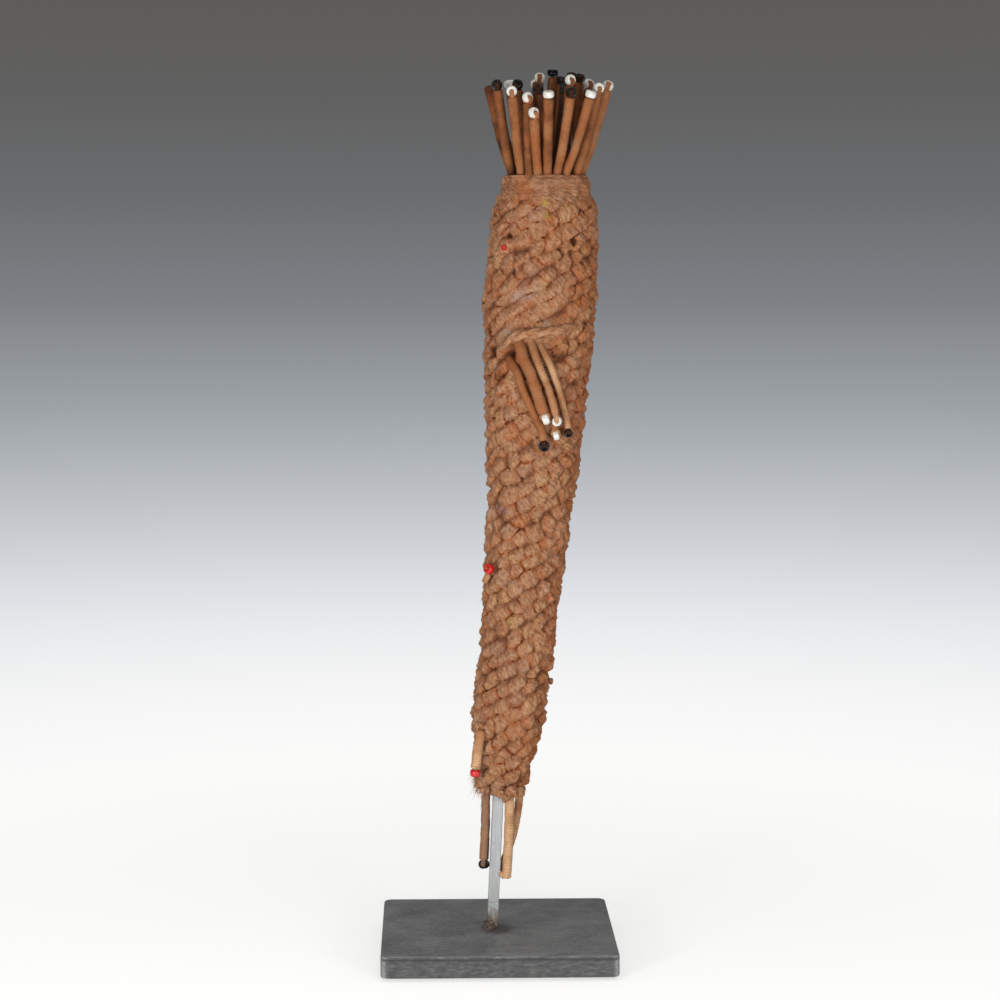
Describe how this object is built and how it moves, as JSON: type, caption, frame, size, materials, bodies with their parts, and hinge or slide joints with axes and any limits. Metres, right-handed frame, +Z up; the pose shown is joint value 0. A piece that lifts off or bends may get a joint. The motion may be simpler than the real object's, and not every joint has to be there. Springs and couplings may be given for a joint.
{
  "type": "corn cob doll on a stand",
  "caption": "Slim handmade doll: a corn cob wrapped in knotted cord, with stiff thread-bound locks tipped with glass beads, on a leaning steel bar and square plate.",
  "frame": {"origin": "On the surface the stand rests on, under the centre of the square plate.", "axes": "+Z up, the viewer on the -Y side, +X to the viewer's right, which is the side the doll leans to. X and Y run along the plate's sides."},
  "size_m": [0.1016, 0.1016, 0.3843],
  "materials": {
    "patinated_steel": "blackened and waxed, slight sheen",
    "bare_steel": "bare steel bar, dull",
    "weld_metal": "heat-tinted weld",
    "dark_felt": "dark brown felt",
    "cob": "dried corn cob, rough",
    "knotted_cord": "knotted dyed plant-fibre cord, matt",
    "collar_cloth": "thread-wrapped cloth band, matt",
    "bound_thread": "fine thread wound round a cord, matt",
    "pale_thread": "fine ochre thread wound round a cord, matt",
    "white_glass": "opaque white glass bead, glossy",
    "black_glass": "opaque black glass bead, glossy",
    "red_glass": "opaque red glass bead, glossy"
  },
  "bodies": {
    "stand": {"base_plate": "patinated_steel", "post": "bare_steel", "weld_bead": "weld_metal", "foot_pad_1": "dark_felt", "foot_pad_2": "dark_felt", "foot_pad_3": "dark_felt", "foot_pad_4": "dark_felt"},
    "doll": {"cob_core": "cob", "knotted_sheath": "knotted_cord", "collar_band": "collar_cloth", "arm_strand": "knotted_cord", "front_hair_01": "bound_thread", "front_hair_02": "bound_thread", "front_hair_03": "bound_thread", "front_hair_04": "bound_thread", "front_hair_05": "bound_thread", "front_hair_06": "bound_thread", "front_hair_07": "bound_thread", "front_hair_08": "bound_thread", "front_hair_09": "bound_thread", "front_hair_10": "bound_thread", "front_hair_bead_02": "black_glass", "front_hair_bead_03": "white_glass", "front_hair_bead_04": "white_glass", "front_hair_bead_05": "white_glass", "front_hair_bead_06": "white_glass", "front_hair_bead_07": "black_glass", "front_hair_bead_08": "white_glass", "front_hair_bead_09": "white_glass", "front_hair_bead_10": "white_glass", "rear_hair_01": "bound_thread", "rear_hair_02": "bound_thread", "rear_hair_03": "bound_thread", "rear_hair_04": "bound_thread", "rear_hair_05": "bound_thread", "rear_hair_06": "bound_thread", "rear_hair_07": "bound_thread", "inner_hair": "bound_thread", "waist_bead": "red_glass", "waist_stub": "pale_thread", "chest_bead": "red_glass"},
    "arm_1": {"arm_lock_1": "bound_thread", "arm_bead_1": "black_glass"},
    "arm_2": {"arm_lock_2": "bound_thread", "arm_bead_2": "white_glass"},
    "arm_3": {"arm_lock_3": "bound_thread", "arm_bead_3": "white_glass"},
    "arm_4": {"arm_lock_4": "bound_thread", "arm_bead_4": "black_glass"},
    "arm_5": {"arm_lock_5": "bound_thread", "arm_bead_5": "white_glass"},
    "leg_left_front": {"leg_lock_left_front": "bound_thread", "leg_bead_left_front": "black_glass"},
    "leg_left_back": {"leg_lock_left_back": "bound_thread", "leg_bead_left_back": "black_glass"},
    "leg_right_front": {"leg_lock_right_front": "pale_thread"},
    "leg_right_back": {"leg_lock_right_back": "pale_thread", "leg_bead_right_back": "white_glass"},
    "side_lock_and_bead": {"side_lock": "pale_thread", "side_bead": "red_glass"}
  },
  "joints": [
    {"name": "doll_lift", "type": "slide", "parent": "stand", "child": "doll", "axis": [0.0454, 0, 0.999], "range_m": [0, 0.068]},
    {"name": "arm_2_swing", "type": "hinge", "parent": "doll", "child": "arm_2", "pos_m": [0.00944, -0.02176, 0.2666], "axis": [-1, 0, 0], "range_deg": [0, 60]},
    {"name": "arm_1_swing", "type": "hinge", "parent": "doll", "child": "arm_1", "pos_m": [0.00612, -0.01933, 0.25993], "axis": [-1, 0, 0], "range_deg": [0, 60]},
    {"name": "arm_3_swing", "type": "hinge", "parent": "doll", "child": "arm_3", "pos_m": [0.01457, -0.02235, 0.26713], "axis": [-1, 0, 0], "range_deg": [0, 60]},
    {"name": "arm_4_swing", "type": "hinge", "parent": "doll", "child": "arm_4", "pos_m": [0.01882, -0.02222, 0.26574], "axis": [-1, 0, 0], "range_deg": [0, 60]},
    {"name": "arm_5_swing", "type": "hinge", "parent": "doll", "child": "arm_5", "pos_m": [0.01279, -0.02116, 0.25614], "axis": [-1, 0, 0], "range_deg": [0, 60]},
    {"name": "leg_left_front_swing", "type": "hinge", "parent": "doll", "child": "leg_left_front", "pos_m": [-0.00533, -0.0015, 0.06895], "axis": [-1, 0, 0], "range_deg": [0, 50]},
    {"name": "leg_right_front_swing", "type": "hinge", "parent": "doll", "child": "leg_right_front", "pos_m": [0.00536, -0.00145, 0.06856], "axis": [-1, 0, 0], "range_deg": [0, 50]},
    {"name": "leg_left_back_swing", "type": "hinge", "parent": "doll", "child": "leg_left_back", "pos_m": [-0.00458, 0.00471, 0.06915], "axis": [1, 0, 0], "range_deg": [0, 50]},
    {"name": "leg_right_back_swing", "type": "hinge", "parent": "doll", "child": "leg_right_back", "pos_m": [0.00993, 0.00471, 0.06895], "axis": [1, 0, 0], "range_deg": [0, 50]},
    {"name": "side_lock_swing", "type": "hinge", "parent": "doll", "child": "side_lock_and_bead", "pos_m": [-0.00772, -0.0126, 0.0989], "axis": [-0.7193, 0.6947, 0], "range_deg": [0, 60]}
  ],
  "couplings": [
    {"joint": "arm_1_swing", "follows": "arm_2_swing", "ratio": 1},
    {"joint": "arm_3_swing", "follows": "arm_2_swing", "ratio": 1},
    {"joint": "arm_5_swing", "follows": "arm_2_swing", "ratio": 1}
  ]
}
